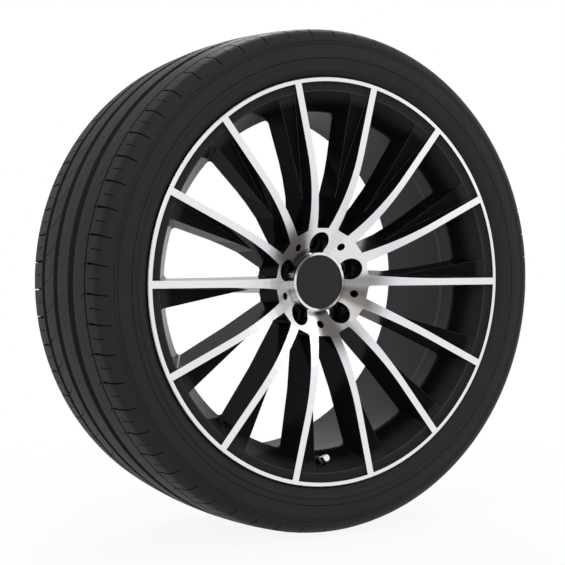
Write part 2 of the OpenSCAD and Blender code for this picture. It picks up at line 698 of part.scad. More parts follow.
module tread_cuts() {
    thin_edge = groove_thin + thin_w / 2;
    c_edge = groove_c + groove_c_w / 2;
    rib_from = -groove_c + groove_c_w / 2;
    rib_to = -groove_b - groove_b_w / 2;
    half_pitch = 180 / pitches;
    edge_r = crown(thin_edge);
    for (i = [0:pitches - 1]) {
        rotate([0, 0, block_angle(i)]) {
            // cross grooves in both shoulders
            cut(thin_edge + cross_gap, edge_r - cross_deep, tread_half + cross_out - thin_edge,
                cross_drift, 0.7, cross_w, cross_w / 2.5, cross_fall);
            cut(-c_edge - cross_gap, crown(c_edge) - cross_deep, c_edge - tread_half - cross_out,
                cross_drift, 0, cross_w, cross_w / 2.5, cross_fall * 0.7);
            // nick behind the thin groove
            cut(groove_thin - thin_w / 2 + sipe_w / 3, edge_r - sipe_deep, -nick_l,
                nick_l * 0.6, 0, sipe_w, sipe_w / 2, 0);
        }
        // slanted nick in the middle rib
        rotate([0, 0, block_angle(i) + 1])
            cut(groove_a / 4, tread_r - sipe_deep, nick_l / 3, -nick_l / 3, 0, sipe_w, sipe_w, 0);
        // curved cut across the inner rib
        rotate([0, 0, block_angle(i) - 1.2])
            cut(rib_from - cross_gap, crown(groove_c) - sipe_deep, rib_to - rib_from - cross_gap,
                -curve_drift, 0.7, sipe_w, sipe_w / 1.5, 0);
        // short cuts between the cross grooves
        rotate([0, 0, block_angle(i) + half_pitch]) {
            cut(thin_edge + short_l * 0.4, edge_r - sipe_deep, short_l,
                cross_drift / 2, 0.5, sipe_w, sipe_w / 2, cross_fall);
            cut(-c_edge - short_l * 0.3, crown(c_edge) - sipe_deep, -short_l,
                cross_drift / 2, 0, sipe_w, sipe_w / 2, cross_fall / 2);
        }
    }
}

module tyre() {
    color("#2b2b2d")
        on_axle()
            difference() {
                rotate_extrude($fn = 180) tyre_section();
                tread_cuts();
            }
}

// Centre cap
plate_top = cap_seat + cap_plate;

module cap_body() {
    color("#1b1b1d")
        on_axle() {
            difference() {
                translate([0, 0, cap_seat]) cylinder(h = cap_plate, d = cap_d, $fn = 96);
                translate([0, 0, plate_top - disc_t - tight])
                    cylinder(h = 5, d = disc_d + tight * 2, $fn = 96);
            }
            intersection() {
                translate([0, 0, cap_seat - finger_l])
                    difference() {
                        union() {
                            cylinder(h = finger_l + 0.5, r = finger_r, $fn = 96);
                            // barb at the fingers' ends
                            translate([0, 0, barb_z - cap_seat + finger_l])
                                cylinder(h = barb_h, r1 = finger_r, r2 = finger_r + barb_out, $fn = 96);
                        }
                        translate([0, 0, -1])
                            cylinder(h = finger_l + 3, r = finger_r - finger_t, $fn = 96);
                        // channel for the spring ring
                        translate([0, 0, 4])
                            cylinder(h = ring_wire + 2 * tight, r = finger_r - finger_t + 0.9, $fn = 96);
                    }
                for (i = [0:fingers - 1])
                    rotate([0, 0, i * 360 / fingers])
                        translate([finger_r - finger_t - 2, -9, cap_seat - finger_l - 1])
                            cube([finger_t + 6, 18, finger_l + 2]);
            }
        }
}

module cap_disc() {
    color("#2f3033")
        on_axle()
            translate([0, 0, plate_top - disc_t])
                cylinder(h = disc_t, d = disc_d, $fn = 96);
}

module cap_spring_ring() {
    color("silver")
        on_axle()
            translate([0, 0, cap_seat - finger_l + 4 + tight + ring_wire / 2])
                rotate([0, 0, 14])
                    rotate_extrude(angle = 332, $fn = 96)
                        translate([finger_r - finger_t + 0.9 - tight - ring_wire / 2, 0])
                            circle(d = ring_wire, $fn = 24);
}

// Valve, drawn with its seat on the rim at zero and its mouth up
foot_top = -valve_wall - seal_t;
mouth_z = stem_out;
mouth_from = mouth_z - mouth_l;
core_top = mouth_z - core_sunk;
core_low = core_top - core_l;
core_r = core_bore_d / 2 - fit_play;
pin_r = pin_d / 2;
shelf_z = core_low + shelf_t;
chamber_h = spring_l + collar_t + 3 * fit_play;
chamber_r = core_r - 1.3;
collar_z = shelf_z + spring_l + 2 * fit_play;
cup_z = core_low - 0.6;

module valve_stem() {
    color("#3a3b3e")
        on_axle()
            at_valve()
                difference() {
                    union() {
                        translate([0, 0, foot_top - foot_t]) cylinder(h = foot_t, d = foot_d, $fn = 48);
                        translate([0, 0, foot_top - 0.5])
                            cylinder(h = mouth_from - foot_top - 1, d = stem_d, $fn = 48);
                        translate([0, 0, mouth_from - 1.5])
                            cylinder(h = 1.5, d1 = stem_d, d2 = mouth_d, $fn = 48);
                        translate([0, 0, mouth_from - 0.1])
                            cylinder(h = mouth_l + 0.1 - 0.5, d = mouth_d, $fn = 48);
                        translate([0, 0, mouth_z - 0.5])
                            cylinder(h = 0.5, d1 = mouth_d, d2 = mouth_d - 0.8, $fn = 48);
                    }
                    translate([0, 0, core_low - 4]) cylinder(h = 60, d = core_bore_d, $fn = 32);
                    translate([0, 0, foot_top - foot_t - 1]) cylinder(h = 60, d = air_d, $fn = 24);
                    translate([0, 0, foot_top - foot_t - 1])
                        cylinder(h = 7, d = screw_d + 2 * fit_play, $fn = 24);
                }
}

module valve_seal() {
    color("#1c1c1c")
        on_axle()
            at_valve()
                difference() {
                    union() {
                        translate([0, 0, foot_top + fit_play])
                            cylinder(h = seal_t - 2 * fit_play, d = foot_d + 1, $fn = 48);
                        translate([0, 0, foot_top + fit_play])
                            cylinder(h = seal_t + valve_wall / 2, d = valve_hole_d - 2 * fit_play, $fn = 48);
                    }
                    translate([0, 0, foot_top - 1])
                        cylinder(h = 30, d = stem_d + 2 * fit_play, $fn = 48);
                }
}

module valve_washer() {
    color("silver")
        on_axle()
            at_valve()
                difference() {
                    translate([0, 0, fit_play]) cylinder(h = washer_t, d = nut_af + 4, $fn = 48);
                    translate([0, 0, -1]) cylinder(h = 5, d = stem_d + 2 * fit_play, $fn = 48);
                }
}

module valve_nut() {
    nut_z = washer_t + 2 * fit_play;
    color("#4a4b4e")
        on_axle()
            at_valve()
                difference() {
                    intersection() {
                        translate([0, 0, nut_z]) cylinder(h = nut_h, d = nut_af / cos(30), $fn = 6);
                        translate([0, 0, nut_z])
                            cylinder(h = nut_h, r1 = nut_af / 2 + 3, r2 = nut_af / 2 + 0.2, $fn = 48);
                    }
                    translate([0, 0, nut_z - 1])
                        cylinder(h = nut_h + 2, d = stem_d + 2 * fit_play, $fn = 48);
                }
}

cap_foot = mouth_from + 0.4;
cap_top = mouth_z + cap_seal_t + 2 * fit_play + cap_end;

module valve_cap() {
    color("silver")
        on_axle()
            at_valve()
                difference() {
                    union() {
                        translate([0, 0, cap_foot])
                            cylinder(h = cap_top - cap_foot - 0.8, d = cap_out_d, $fn = 48);
                        translate([0, 0, cap_top - 0.8])
                            cylinder(h = 0.8, d1 = cap_out_d, d2 = cap_out_d - 1.6, $fn = 48);
                    }
                    translate([0, 0, cap_foot - 1])
                        cylinder(h = cap_top - cap_end - cap_foot + 1, d = mouth_d + 2 * fit_play, $fn = 48);
                    for (i = [0:cap_grooves - 1])
                        rotate([0, 0, i * 360 / cap_grooves])
                            translate([cap_out_d / 2 + 0.12, 0, cap_foot + 1])
                                cylinder(h = cap_top - cap_foot - 3, d = 0.8, $fn = 16);
                }
}

module valve_cap_seal() {
    color("#222222")
        on_axle()
            at_valve()
                difference() {
                    translate([0, 0, mouth_z + fit_play])
                        cylinder(h = cap_seal_t, d = mouth_d - 2 * fit_play, $fn = 48);
                    translate([0, 0, mouth_z - 1]) cylinder(h = 5, d = 3.4, $fn = 24);
                }
}

module core_plug() {
    color("#b08d3c")
        on_axle()
            at_valve()
                difference() {
                    union() {
                        translate([0, 0, core_top - 3.5]) cylinder(h = 3.5, r = core_r, $fn = 32);
                        translate([0, 0, core_low]) cylinder(h = core_l, r = core_r - 0.9, $fn = 32);
                    }
                    translate([0, 0, core_low - 1])
                        cylinder(h = core_l + 2, r = pin_r + fit_play, $fn = 24);
                    translate([0, 0, core_top - 1])
                        cube([2 * core_r + 1, 1.1, 2.2], center = true);
                    // chamber of the spring
                    translate([0, 0, shelf_z]) cylinder(h = chamber_h, r = chamber_r, $fn = 24);
                }
}

module core_sleeve() {
    color("#7d2d24")
        on_axle()
            at_valve()
                difference() {
                    translate([0, 0, core_top - 5.7]) cylinder(h = 2, r = core_r, $fn = 32);
                    translate([0, 0, core_top - 8])
                        cylinder(h = 6, r = core_r - 0.9 + fit_play, $fn = 32);
                }
}

module core_pin() {
    color("#c8a24a")
        on_axle()
            at_valve() {
                translate([0, 0, cup_z - 1])
                    cylinder(h = core_top + pin_out - cup_z + 1, r = pin_r, $fn = 24);
                translate([0, 0, cup_z - 1]) cylinder(h = 0.5, r = core_r - 0.6, $fn = 24);
                translate([0, 0, collar_z]) cylinder(h = collar_t, r = chamber_r - fit_play, $fn = 24);
            }
}

module core_cup_seal() {
    color("#262626")
        on_axle()
            at_valve()
                difference() {
                    translate([0, 0, cup_z - 0.5 + fit_play / 2])
                        cylinder(h = 1.1 - fit_play, r = core_r - 0.6, $fn = 24);
                    translate([0, 0, cup_z - 2]) cylinder(h = 4, r = pin_r + fit_play, $fn = 24);
                }
}

// Tube with a round section swept along points
module tube(points, r, sides) {
    count = len(points);
    function along(i) = let(d = points[min(i + 1, count - 1)] - points[max(i - 1, 0)]) d / norm(d);
    function ring(i) = let(
        t = along(i),
        out = [points[i][0], points[i][1], 0] / norm([points[i][0], points[i][1], 0]),
        u = out - (out * t) * t,
        side = u / norm(u),
        up = cross(t, side)
    ) [for (k = [0:sides - 1]) points[i] + r * (side * cos(360 * k / sides) + up * sin(360 * k / sides))];
    vertices = [for (i = [0:count - 1]) each ring(i)];
    skin = [for (i = [0:count - 2]) for (k = [0:sides - 1])
        [i * sides + k, i * sides + (k + 1) % sides, (i + 1) * sides + (k + 1) % sides, (i + 1) * sides + k]];
    ends = [[for (k = [sides - 1:-1:0]) k], [for (k = [0:sides - 1]) (count - 1) * sides + k]];
    polyhedron(vertices, [for (f = concat(skin, ends)) reversed(f)], convexity = 8);
}

spring_coil_r = (chamber_r + pin_r) / 2;

module core_spring() {
    steps = 12 * spring_turns;
    path = [for (i = [0:steps]) [spring_coil_r * cos(30 * i), spring_coil_r * sin(30 * i),
        shelf_z + fit_play + spring_wire / 2 + (spring_l - spring_wire) * i / steps]];
    color("silver")
        on_axle()
            at_valve()
                tube(path, spring_wire / 2, 6);
}

// Pressure sensor, on the valve's foot inside the tyre
sensor_top = foot_top - foot_t - tight;
sensor_out = 3.5;

sensor_middle = 9;
sensor_cover_t = 1.2;

// Room for the battery or for the board, on one side of the screw
module sensor_room(s, play, low, high) {
    translate([sensor_out + sensor_t - sensor_w / 2 + play,
        (s > 0 ? sensor_middle : sensor_t - sensor_l / 2) + play, low])
        cube([sensor_w - 2 * sensor_t - 2 * play,
            sensor_l / 2 - sensor_middle - sensor_t - 2 * play, high]);
}

module sensor_housing() {
    color("#202124")
        on_axle()
            at_valve()
                difference() {
                    translate([sensor_out - sensor_w / 2, -sensor_l / 2, sensor_top - sensor_h])
                        cube([sensor_w, sensor_l, sensor_h]);
                    // room for the battery and the board
                    for (s = [-1, 1])
                        sensor_room(s, 0, sensor_top - sensor_h - 1, sensor_h - sensor_t + 1);
                    translate([0, 0, sensor_top - sensor_h - 1])
                        cylinder(h = sensor_h + 2, d = screw_d + 2 * fit_play, $fn = 24);
                    translate([0, 0, sensor_top - sensor_h - 1])
                        cylinder(h = 4, d = 2 * screw_d, $fn = 24);
                }
}

module sensor_cover() {
    color("#2d2e31")
        on_axle()
            at_valve()
                for (s = [-1, 1])
                    sensor_room(s, fit_play, sensor_top - sensor_h, sensor_cover_t);
}

module sensor_screw() {
    color("silver")
        on_axle()
            at_valve()
                difference() {
                    union() {
                        translate([0, 0, sensor_top - sensor_h])
                            cylinder(h = 2.9, d = 2 * screw_d - 0.4, $fn = 32);
                        translate([0, 0, sensor_top - sensor_h])
                            cylinder(h = sensor_h + 5, d = screw_d, $fn = 24);
                    }
                    translate([0, 0, sensor_top - sensor_h - 1]) cylinder(h = 2.6, d = 3, $fn = 6);
                }
}

alloy_wheel();
tyre();
cap_body();
cap_disc();
cap_spring_ring();
valve_stem();
valve_seal();
valve_washer();
valve_nut();
valve_cap();
valve_cap_seal();
core_plug();
core_sleeve();
core_pin();
core_cup_seal();
core_spring();
sensor_housing();
sensor_cover();
sensor_screw();
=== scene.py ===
"""A family car's wheel and tyre in a white studio: fourteen-spoke alloy casting, low-profile tyre,
centre cap and clamp-in valve. Metres, spin axis along Y, outboard face towards -Y, +Z up."""
import json
import math

import bpy
from mathutils import Matrix, Vector


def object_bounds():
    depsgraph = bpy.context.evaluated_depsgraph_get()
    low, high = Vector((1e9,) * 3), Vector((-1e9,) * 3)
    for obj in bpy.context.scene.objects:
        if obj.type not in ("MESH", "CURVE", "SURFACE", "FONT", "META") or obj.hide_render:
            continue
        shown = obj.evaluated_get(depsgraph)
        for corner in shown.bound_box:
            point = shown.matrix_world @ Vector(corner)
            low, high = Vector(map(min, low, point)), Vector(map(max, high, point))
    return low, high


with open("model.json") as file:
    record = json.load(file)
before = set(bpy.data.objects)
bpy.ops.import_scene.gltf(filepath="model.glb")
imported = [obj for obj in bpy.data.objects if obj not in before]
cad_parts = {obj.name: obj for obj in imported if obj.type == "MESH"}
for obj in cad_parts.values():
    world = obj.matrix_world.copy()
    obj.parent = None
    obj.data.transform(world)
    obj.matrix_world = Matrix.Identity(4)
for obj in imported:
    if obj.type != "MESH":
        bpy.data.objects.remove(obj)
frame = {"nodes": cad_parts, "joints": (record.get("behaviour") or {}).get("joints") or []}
cad_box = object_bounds()
nodes = frame["nodes"]


# Camera
# A long lens about 2 degrees above the axle and 30 degrees round to the wheel's left.
camera_place = (-0.9661, -1.6451, 0.0709)
camera_right = (0.8643, -0.5028, -0.0077)
camera_up = (0.0278, 0.0325, 0.9991)
camera_back = (-0.5021, -0.8638, 0.0421)

camera = bpy.data.objects.new("camera", bpy.data.cameras.new("camera"))
bpy.context.scene.collection.objects.link(camera)
camera.matrix_world = Matrix((
    (camera_right[0], camera_up[0], camera_back[0], camera_place[0]),
    (camera_right[1], camera_up[1], camera_back[1], camera_place[1]),
    (camera_right[2], camera_up[2], camera_back[2], camera_place[2]),
    (0.0, 0.0, 0.0, 1.0),
))
camera.data.sensor_width = 36.0
camera.data.lens = 85.96
camera.data.shift_x = -0.0013
camera.data.shift_y = 0.0078
camera.data.clip_end = 60.0
bpy.context.scene.camera = camera
bpy.context.scene.view_settings.view_transform = "Standard"


# Studio
# White paper floor and surround, a warm soft box high on the left, a cooler one on the right and
# a plain one behind.
floor_z = cad_box[0][2]
floor_half = 12.0
fill_level = 0.62
shadow_share = 0.09
shadow_full = 0.3
shadow_reach = 1.2


def new_material(name):
    """Node tree with a Principled BSDF on its output; gives the material, its tree and the shader."""
    made = bpy.data.materials.new(name)
    made.use_nodes = True
    tree = made.node_tree
    tree.nodes.clear()
    shader = tree.nodes.new("ShaderNodeBsdfPrincipled")
    output = tree.nodes.new("ShaderNodeOutputMaterial")
    tree.links.new(shader.outputs["BSDF"], output.inputs["Surface"])
    return made, tree, shader


def node(tree, kind, **values):
    """New shader node; each value is set or linked on the property or the input of its name."""
    made = tree.nodes.new(kind)
    for name, value in values.items():
        if hasattr(made, name):
            setattr(made, name, value)
        elif isinstance(value, bpy.types.NodeSocket):
            tree.links.new(value, made.inputs[name.replace("_", " ")])
        else:
            made.inputs[name.replace("_", " ")].default_value = value
    return made


def maths(tree, operation, *values, clamp=False):
    """Math node on sockets or numbers; gives its output."""
    made = tree.nodes.new("ShaderNodeMath")
    made.operation = operation
    made.use_clamp = clamp
    for slot, value in zip(made.inputs, values):
        if isinstance(value, (int, float)):
            slot.default_value = value
        else:
            tree.links.new(value, slot)
    return made.outputs[0]


def rise(tree, value, start, end):
    """Smooth step from 0 at the start to 1 at the end."""
    made = node(tree, "ShaderNodeMapRange", interpolation_type="SMOOTHSTEP", Value=value)
    made.inputs["From Min"].default_value = start
    made.inputs["From Max"].default_value = end
    return made.outputs[0]


def blend(tree, share, first, second):
    """Mix of two colours, each a triple or a socket."""
    made = node(tree, "ShaderNodeMix", data_type="RGBA")
    for slot, value in ((made.inputs[0], share), (made.inputs[6], first), (made.inputs[7], second)):
        if isinstance(value, bpy.types.NodeSocket):
            tree.links.new(value, slot)
        else:
            slot.default_value = value if isinstance(value, float) else (*value, 1.0)
    return made.outputs[2]


def seen_directly(tree):
    """One where a camera, glossy or transmission ray looks, so that metal shows the white surround too."""
    path = tree.nodes.new("ShaderNodeLightPath")
    seen = maths(tree, "MAXIMUM", path.outputs["Is Camera Ray"], path.outputs["Is Glossy Ray"])
    return maths(tree, "MAXIMUM", seen, path.outputs["Is Transmission Ray"])


world = bpy.data.worlds.new("surround")
world.use_nodes = True
bpy.context.scene.world = world
sky = world.node_tree
sky.nodes.clear()
sky_fill = node(sky, "ShaderNodeBackground", Color=(1.0, 1.0, 1.0, 1.0), Strength=fill_level)
sky_white = node(sky, "ShaderNodeBackground", Color=(1.0, 1.0, 1.0, 1.0), Strength=1.0)
sky_mix = sky.nodes.new("ShaderNodeMixShader")
sky_out = sky.nodes.new("ShaderNodeOutputWorld")
sky.links.new(seen_directly(sky), sky_mix.inputs[0])
sky.links.new(sky_fill.outputs[0], sky_mix.inputs[1])
sky.links.new(sky_white.outputs[0], sky_mix.inputs[2])
sky.links.new(sky_mix.outputs[0], sky_out.inputs["Surface"])

floor_mesh = bpy.data.meshes.new("floor")
floor_mesh.from_pydata(
    [(x * floor_half, y * floor_half, floor_z) for x, y in ((-1, -1), (1, -1), (1, 1), (-1, 1))],
    [], [(0, 1, 2, 3)])
floor = bpy.data.objects.new("floor", floor_mesh)
bpy.context.scene.collection.objects.link(floor)
floor_paper, tree, shader = new_material("floor_paper")
shader.inputs["Base Color"].default_value = (0.9, 0.9, 0.9, 1.0)
shader.inputs["Roughness"].default_value = 0.9
shader.inputs["Specular IOR Level"].default_value = 0.1
white = node(tree, "ShaderNodeEmission", Color=(1.0, 1.0, 1.0, 1.0), Strength=1.0)
far = node(tree, "ShaderNodeVectorMath", operation="LENGTH")
tree.links.new(tree.nodes.new("ShaderNodeTexCoord").outputs["Object"], far.inputs[0])
paper_share = maths(tree, "SUBTRACT", 1.0, rise(tree, far.outputs["Value"], shadow_full, shadow_reach))
plain_white = maths(tree, "SUBTRACT", 1.0, maths(tree, "MULTIPLY", paper_share, shadow_share))
mix = tree.nodes.new("ShaderNodeMixShader")
tree.links.new(maths(tree, "MULTIPLY", seen_directly(tree), plain_white), mix.inputs[0])
tree.links.new(shader.outputs[0], mix.inputs[1])
tree.links.new(white.outputs[0], mix.inputs[2])
tree.links.new(mix.outputs[0], tree.nodes["Material Output"].inputs["Surface"])
floor_mesh.materials.append(floor_paper)


def soft_box(name, place, aim, width, height, power, colour):
    """Rectangular area lamp at a place, turned towards a point."""
    lamp = bpy.data.lights.new(name, "AREA")
    lamp.shape = "RECTANGLE"
    lamp.size = width
    lamp.size_y = height
    lamp.energy = power
    lamp.color = colour
    holder = bpy.data.objects.new(name, lamp)
    holder.location = place
    holder.rotation_euler = (Vector(aim) - Vector(place)).to_track_quat("-Z", "Y").to_euler()
    bpy.context.scene.collection.objects.link(holder)


soft_box("key", (-2.2, -2.4, 2.6), (0.0, 0.0, 0.0), 3.2, 3.2, 47.0, (1.0, 0.94, 0.9))
soft_box("side", (2.6, -1.6, 1.4), (0.0, 0.0, 0.0), 1.2, 2.4, 13.0, (0.9, 0.94, 1.0))
soft_box("rear", (1.8, 2.8, 2.4), (-0.1, 0.0, -0.2), 1.6, 1.6, 70.0, (1.0, 1.0, 1.0))


# Alloy wheel
# One aluminium casting. Gloss black covers its front and satin grey its barrel; then a lathe turns
# the lip, the spokes' faces and the hub bright through the black, and leaves fine rings on them.
# Painted light on top: reflection fans on the turned faces, a lighter black on flat outboard faces,
# a warm painted reflection towards the rim's inner ring and painted highlights along the black's edges.
tyre_past_lip = 0.0056
lip_depth = -cad_box[0][1] - tyre_past_lip
hub_r = 0.088
# Turn, count and shares of the painted reflection fans on the turned faces.
painted_fan_turn = math.radians(138.0)
painted_fan_share = 0.45
bolt_count = 5.0
painted_swirl_turn = 0.9
painted_swirl_share = 0.35
dish_radius = 0.207
dish_from = 0.18
cut_depth = 0.0006
lip_edge_r = 0.2735
paint_end = 0.046
paint_fade = 0.004
# Radii of the painted warm reflection towards the rim's inner ring.
rim_reflection_from = 0.238
rim_reflection_full = 0.25
barrel_r = 0.228
barrel_fade = 0.001
# Facing limits of the painted light on flat outboard black faces.
painted_light_from = 0.991
painted_light_full = 0.997
pad_from = 0.0774
pad_r = 0.09
bore_r = 0.0334
boss_foot_r = 0.043
boss_foot = 0.052
outboard_limit = -0.4
inboard_limit = 0.9
VALUE = "NodeSocketFloat"
VECTOR = "NodeSocketVector"


def new_group(name, inputs, outputs):
    """Empty shader node group with its sockets; gives the group, its input node and its output node."""
    made = bpy.data.node_groups.new(name, "ShaderNodeTree")
    for label, kind, start in inputs:
        made.interface.new_socket(label, in_out="INPUT", socket_type=kind).default_value = start
    for label, kind in outputs:
        made.interface.new_socket(label, in_out="OUTPUT", socket_type=kind)
    return made, made.nodes.new("NodeGroupInput"), made.nodes.new("NodeGroupOutput")


axis_place, given, out = new_group(
    "axis_place", [("Centre", VECTOR, (0.0, -lip_depth, 0.0)), ("Axis", VECTOR, (0.0, 1.0, 0.0))],
    [("Radius", VALUE), ("Along", VALUE), ("Turn", VALUE)])
here = node(axis_place, "ShaderNodeTexCoord").outputs["Object"]
offset = node(axis_place, "ShaderNodeVectorMath", operation="SUBTRACT")
axis_place.links.new(here, offset.inputs[0])
axis_place.links.new(given.outputs["Centre"], offset.inputs[1])
along = node(axis_place, "ShaderNodeVectorMath", operation="DOT_PRODUCT")
axis_place.links.new(offset.outputs[0], along.inputs[0])
axis_place.links.new(given.outputs["Axis"], along.inputs[1])
length = node(axis_place, "ShaderNodeVectorMath", operation="LENGTH")
axis_place.links.new(offset.outputs[0], length.inputs[0])
squares = maths(axis_place, "SUBTRACT", maths(axis_place, "POWER", length.outputs["Value"], 2.0),
                maths(axis_place, "POWER", along.outputs["Value"], 2.0))
split = node(axis_place, "ShaderNodeSeparateXYZ", Vector=offset.outputs[0])
axis_place.links.new(maths(axis_place, "SQRT", maths(axis_place, "MAXIMUM", squares, 0.0)),
                     out.inputs["Radius"])
axis_place.links.new(along.outputs["Value"], out.inputs["Along"])
axis_place.links.new(maths(axis_place, "ARCTAN2", split.outputs[2], split.outputs[0]),
                     out.inputs["Turn"])

lathe_rings, given, out = new_group(
    "lathe_rings", [("Radius", VALUE, 0.0), ("Pitch", VALUE, 0.0004)],
    [("Shade", VALUE), ("Height", VALUE)])
scaled = maths(lathe_rings, "DIVIDE", given.outputs["Radius"], given.outputs["Pitch"])
fine = node(lathe_rings, "ShaderNodeTexNoise", noise_dimensions="1D", W=scaled, Scale=1.0,
            Detail=2.0, Roughness=0.6)
coarse = node(lathe_rings, "ShaderNodeTexNoise", noise_dimensions="1D", W=scaled, Scale=0.12,
              Detail=1.0)
lathe_rings.links.new(
    maths(lathe_rings, "ADD", maths(lathe_rings, "MULTIPLY", fine.outputs[0], 0.6),
          maths(lathe_rings, "MULTIPLY", coarse.outputs[0], 0.4)), out.inputs["Shade"])
lathe_rings.links.new(fine.outputs[0], out.inputs["Height"])

mottle, given, out = new_group(
    "mottle", [("Size", VALUE, 0.01)], [("Shade", VALUE), ("Height", VALUE)])
here = node(mottle, "ShaderNodeTexCoord").outputs["Object"]
density = maths(mottle, "DIVIDE", 1.0, given.outputs["Size"])
broad = node(mottle, "ShaderNodeTexNoise", Vector=here, Scale=density, Detail=3.0, Roughness=0.6)
grain = node(mottle, "ShaderNodeTexNoise", Vector=here, Scale=maths(mottle, "MULTIPLY", density, 14.0),
             Detail=2.0)
mottle.links.new(broad.outputs[0], out.inputs["Shade"])
mottle.links.new(grain.outputs[0], out.inputs["Height"])

soft_edges, given, out = new_group(
    "soft_edges", [("Reach", VALUE, 0.0005)], [("Normal", VECTOR), ("Edge", VALUE)])
rounded = node(soft_edges, "ShaderNodeBevel", samples=4, Radius=given.outputs["Reach"])
surface = node(soft_edges, "ShaderNodeNewGeometry")
same = node(soft_edges, "ShaderNodeVectorMath", operation="DOT_PRODUCT")
soft_edges.links.new(rounded.outputs[0], same.inputs[0])
soft_edges.links.new(surface.outputs["Normal"], same.inputs[1])
soft_edges.links.new(rounded.outputs[0], out.inputs["Normal"])
soft_edges.links.new(rise(soft_edges, maths(soft_edges, "SUBTRACT", 1.0, same.outputs["Value"]),
                          0.01, 0.25), out.inputs["Edge"])


def grouped(tree, group, **values):
    """A shader node group in a material, with some inputs set or linked."""
    made = tree.nodes.new("ShaderNodeGroup")
    made.node_tree = group
    for name, value in values.items():
        slot = made.inputs[name.replace("_", " ")]
        if isinstance(value, bpy.types.NodeSocket):
            tree.links.new(value, slot)
        else:
            slot.default_value = value
    return made


def raised(tree, shader, height, distance, strength, edge_reach):
    """Fine relief and softened edges on a shader's normal; gives the edge mask."""
    edges = grouped(tree, soft_edges, Reach=edge_reach)
    bump = node(tree, "ShaderNodeBump", Height=height, Distance=distance, Strength=strength)
    tree.links.new(edges.outputs["Normal"], bump.inputs["Normal"])
    tree.links.new(bump.outputs[0], shader.inputs["Normal"])
    return edges.outputs["Edge"]


def linked(tree, shader, **values):
    """Links sockets to the shader's inputs of those names."""
    for name, value in values.items():
        tree.links.new(value, shader.inputs[name.replace("_", " ")])


turned_face, tree, shader = new_material("turned_aluminium")
place = grouped(tree, axis_place)
rings = grouped(tree, lathe_rings, Radius=place.outputs["Radius"], Pitch=0.0005)
in_hub = maths(tree, "SUBTRACT", 1.0, rise(tree, place.outputs["Radius"], hub_r * 0.85, hub_r * 1.3))
near_hub = maths(tree, "SUBTRACT", 1.0, rise(tree, place.outputs["Radius"], hub_r, hub_r * 1.9))
# Painted reflection: bright and dark fans round the hub, two opposite sectors plus five swirls, stand in
# for the turned metal's reflection.
from_fan = maths(tree, "SUBTRACT", place.outputs["Turn"], painted_fan_turn)
swing = maths(tree, "COSINE", maths(tree, "MULTIPLY", from_fan, 2.0))
wobble = node(tree, "ShaderNodeTexNoise", noise_dimensions="1D", W=place.outputs["Turn"], Scale=2.4,
              Detail=1.0)
by_bolt = maths(tree, "MULTIPLY", place.outputs["Turn"], bolt_count)
painted_swirl = maths(tree, "COSINE", maths(tree, "ADD", by_bolt, painted_swirl_turn))
waves = maths(tree, "ADD", maths(tree, "MULTIPLY", swing, painted_fan_share),
              maths(tree, "MULTIPLY", painted_swirl, painted_swirl_share))
painted_fan = rise(tree, maths(tree, "ADD", waves, wobble.outputs[0]), 0.25, 1.0)
silver = blend(tree, near_hub, (0.86, 0.85, 0.87), (0.74, 0.755, 0.81))
warm = blend(tree, in_hub, silver, (0.84, 0.835, 0.83))
metal_with_painted_fans = blend(tree, maths(tree, "MULTIPLY", painted_fan, in_hub), warm, (0.13, 0.12, 0.115))
ringed = blend(tree, maths(tree, "MULTIPLY", rings.outputs["Shade"], 0.12), metal_with_painted_fans, (0.3, 0.3, 0.3))
raised(tree, shader, rings.outputs["Height"], 0.00004, 0.25, 0.0003)
linked(tree, shader, Base_Color=ringed,
       Roughness=maths(tree, "ADD", maths(tree, "MULTIPLY", rings.outputs["Shade"], 0.1), 0.24))
shader.inputs["Metallic"].default_value = 1.0
shader.inputs["Anisotropic"].default_value = 0.7
shader.inputs["Anisotropic Rotation"].default_value = 0.25
tangent = node(tree, "ShaderNodeTangent", direction_type="RADIAL", axis="Y")
tree.links.new(tangent.outputs[0], shader.inputs["Tangent"])

paint, tree, shader = new_material("wheel_paint")
place = grouped(tree, axis_place)
behind = rise(tree, place.outputs["Along"], paint_end - paint_fade, paint_end + paint_fade)
outside = rise(tree, place.outputs["Radius"], barrel_r - barrel_fade, barrel_r + barrel_fade)
barrel = maths(tree, "MULTIPLY", behind, outside)
peel = grouped(tree, mottle, Size=0.006)
flake = grouped(tree, mottle, Size=0.0006)
edge = raised(tree, shader, peel.outputs["Shade"], 0.0001, 0.08, 0.0006)
# Painted light: faces that look straight outboard get a lighter black than the rest, standing in for light
# falling on them.
facing = node(tree, "ShaderNodeSeparateXYZ")
tree.links.new(tree.nodes.new("ShaderNodeNewGeometry").outputs["True Normal"], facing.inputs[0])
painted_light_on_flats = rise(tree, maths(tree, "MULTIPLY", facing.outputs[1], -1.0), painted_light_from, painted_light_full)
grey = blend(tree, flake.outputs["Shade"], (0.058, 0.0595, 0.064), (0.108, 0.11, 0.116))
# Painted reflection: the black turns a warm dark brown towards the rim's inner ring.
painted_rim_reflection = rise(tree, place.outputs["Radius"], rim_reflection_from, rim_reflection_full)
black_and_rim_reflection = blend(tree, painted_rim_reflection, (0.006, 0.0056, 0.0054), (0.023, 0.0212, 0.0208))
black = blend(tree, painted_light_on_flats, black_and_rim_reflection, (0.026, 0.026, 0.0265))
# Painted highlight: the edge mask lifts the black to a light warm grey along the edges.
black_with_painted_edge_highlights = blend(tree, maths(tree, "MULTIPLY", edge, 0.7), black, (0.3, 0.28, 0.265))
linked(tree, shader, Base_Color=blend(tree, barrel, black_with_painted_edge_highlights, grey),
       Roughness=maths(tree, "ADD", maths(tree, "MULTIPLY", barrel, 0.3), 0.12))
shader.inputs["Specular IOR Level"].default_value = 0.015


